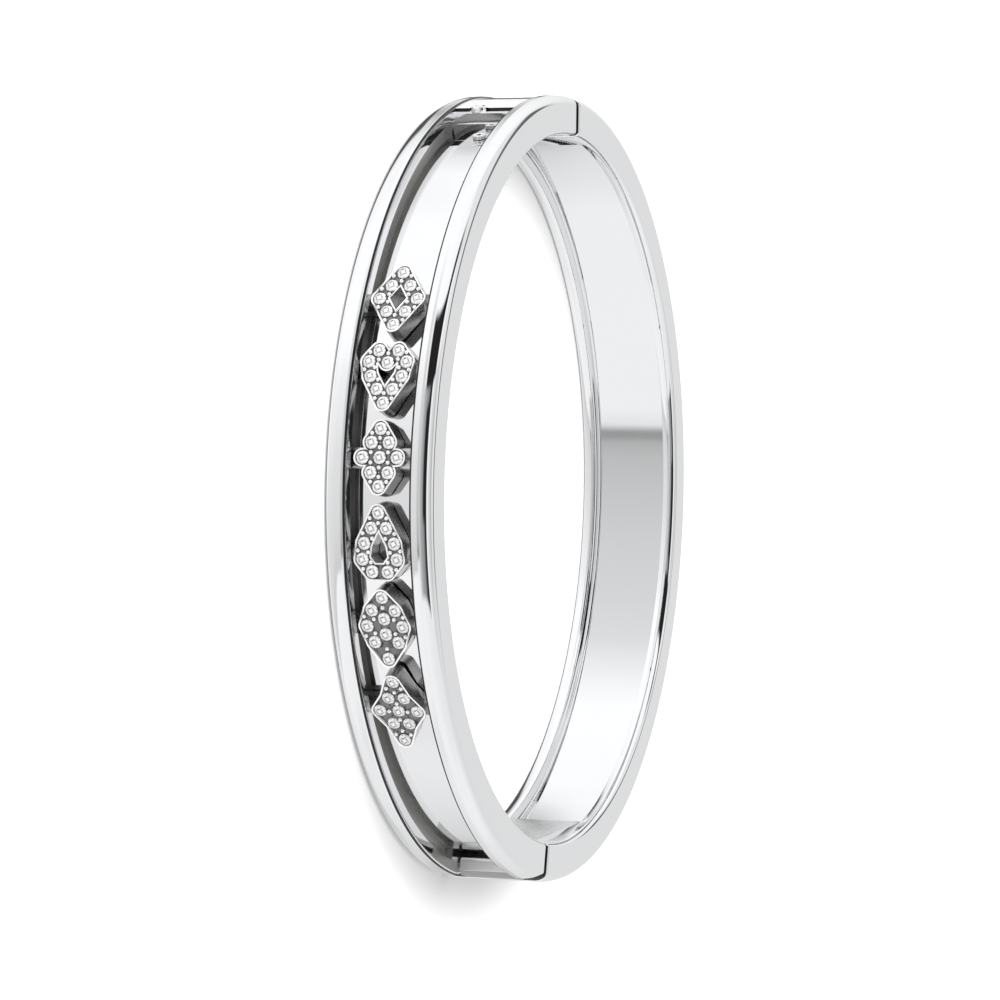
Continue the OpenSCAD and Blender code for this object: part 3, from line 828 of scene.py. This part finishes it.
# above the card: white on the left, a black flag with a deep end, a grey fall to a narrow flag, and
# white again on the right
left = tones(Z, (-0.25, 1.16), (0.55, 1.1), (0.62, 0.02), (0.74, 0.02), (0.8, 0.6), (0.9, 0.75))
deep = tones(Z, (-0.25, 1.16), (-0.14, 0.9), (-0.1, 0.02), (0.72, 0.02), (0.78, 1.16), (0.95, 0.8))
fall_start = ((-0.25, 0.75), (-0.08, 0.5), (0.07, 0.38))
fall_end = ((0.56, 0.02), (0.64, 1.1), (0.8, 0.82), (0.92, 0.72), (0.99, 0.5))
fall = tones(Z, *fall_start, (0.25, 0.33), (0.38, 0.12), (0.45, 0.02), *fall_end)
dip = tones(Z, *fall_start, (0.18, 0.2), (0.24, 0.02), *fall_end)
white = tones(Z, (-0.25, 1.04), (0.3, 0.95), (0.84, 0.92), (0.88, 0.2), (0.93, 0.2), (0.97, 0.9))
above = over(edge(X, -0.72, -0.66), left, deep)
above = over(edge(X, -0.4, -0.36), above, fall)
above = over(edge(X, -0.34, -0.26), above, over(edge(X, 0.2, 0.28), dip, fall))
above = over(edge(X, 0.55, 0.6), above, white)
ahead = over(edge(Z, -0.28, -0.18), card, above)
# behind the object: an even light, darker just past the zenith and close to the floor
behind = tones(X, (-1, 1.16), (-0.8, 1.1), (-0.5, 0.95), (-0.2, 0.82), (0.5, 0.82), (0.8, 0.92), (0.9, 1.0))
low_end = ((0.68, 0.5), (0.75, 0.6), (0.84, 0.85), (0.9, 0.15))
low_left = tones(Y, (0.27, 1.16), (0.45, 0.95), (0.53, 0.75), *low_end)
far_left = tones(Y, (0.3, 1.1), (0.45, 0.97), (0.6, 0.78), *low_end)
low_left = over(edge(Z, -0.349, -0.353), low_left, far_left)
low_right = tones(Y, (0.2, 0.95), (0.48, 0.88), (0.74, 0.76), (0.85, 0.6))
low = over(edge(X, -0.1, 0.1), low_left, low_right)
behind = over(edge(Z, -0.318, -0.329), behind, low)
# a dark arc over the object, which the recess mirrors as a fine line
facing = n.new("ShaderNodeVectorMath")
facing.operation = "DOT_PRODUCT"
facing.inputs[1].default_value = (0.0, 0.943, 0.333)
ln.new(tc.outputs["Generated"], facing.inputs[0])
ring_line = tones(facing.outputs["Value"], (0.74, 0.9), (0.8, 0.2), (0.93, 0.12), (0.96, 0.82))
upper = over(edge(X, 0.0, 0.12), ring_line, behind)
behind = over(edge(Z, 0.3, 0.36), behind, upper)
under = over(edge(X, 0.05, 0.2), tones(Z, (-0.75, 0.08), (-0.42, 0.1), (-0.37, 0.8)),
             tones(Z, (-0.75, 0.6), (-0.42, 0.75), (-0.37, 0.8)))
behind = over(edge(Y, 0.45, 0.6), behind, over(edge(Z, -0.37, -0.42), behind, under))
ln.new(over(edge(Y, -0.15, 0.1), ahead, behind), bg.inputs["Color"])
bg.inputs["Strength"].default_value = WHITE_LEVEL

# one large soft lamp casts the shadow on the floor, and no surface mirrors it
lamp = bpy.data.lights.new("key", "AREA")
lamp.shape = "DISK"
lamp.size = 0.7
lamp.energy = 7
key = bpy.data.objects.new("key", lamp)
key.location = (-0.3, -0.3, 0.66)
key.rotation_euler = (Vector((0, 0, 0)) - key.location).to_track_quat("-Z", "Y").to_euler()
key.visible_glossy = False
bpy.context.scene.collection.objects.link(key)
bpy.context.scene.view_settings.view_transform = "Standard"


# camera
# The photo's view, fitted to its edges: 20 degrees above the plane of the band, rolled so that the
# clasp's end is at the top. The eye's place is in metres, with its height from the band's middle.

TILT, TURN, ROLL, LENS = 19.845, -4.398, 2.63, 139.58
EYE_X, EYE_Y, EYE_Z = 0.02472, -0.30796, 0.10966
tilt, turn, roll = (math.radians(a) for a in (TILT, TURN, ROLL))
forward = Vector((math.sin(turn) * math.cos(tilt), math.cos(turn) * math.cos(tilt), -math.sin(tilt)))
right = forward.cross(Vector((-1, 0, 0))).normalized()
up = right.cross(forward)
right, up = right * math.cos(roll) + up * math.sin(roll), -right * math.sin(roll) + up * math.cos(roll)
cam_data = bpy.data.cameras.new("camera")
cam_data.lens = LENS
cam_data.sensor_width = 36
cam_data.clip_start = 0.01
camera = bpy.data.objects.new("camera", cam_data)
place = Matrix((right, up, -forward)).transposed().to_4x4()
place.translation = Vector((EYE_X, EYE_Y, EYE_Z + HALF_W * MM))
camera.matrix_world = place
bpy.context.scene.collection.objects.link(camera)
bpy.context.scene.camera = camera
